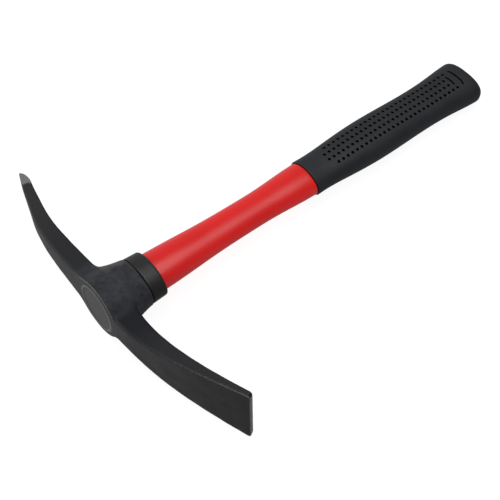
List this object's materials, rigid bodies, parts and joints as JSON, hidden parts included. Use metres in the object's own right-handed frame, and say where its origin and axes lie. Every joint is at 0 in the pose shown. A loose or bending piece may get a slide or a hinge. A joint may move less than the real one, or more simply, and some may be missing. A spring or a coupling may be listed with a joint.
{
  "type": "chipping hammer",
  "caption": "Chipping hammer with a forged pick and adze head, a jacketed fibreglass handle, a collar and a dimpled rubber grip.",
  "frame": {"origin": "centre of the eye's flat outer face, on the handle's axis", "axes": "+X along the handle to the butt, +Y towards the pick, -Y towards the adze, +Z square to the tool's plane"},
  "size_m": [0.348, 0.2581, 0.0514],
  "materials": {
    "head_paint": "satin black paint over forged steel, with ground bare edges",
    "eye_resin": "matte grey bonding resin, ground flush",
    "fibreglass": "pultruded fibreglass rod, hidden inside the handle",
    "red_plastic": "satin red moulded plastic",
    "black_plastic": "satin black moulded plastic",
    "grip_rubber": "matte black moulded rubber"
  },
  "bodies": {
    "root": {"head": "head_paint", "eye_fill": "eye_resin", "core": "fibreglass", "jacket": "red_plastic", "collar": "black_plastic", "grip": "grip_rubber"}
  },
  "joints": []
}
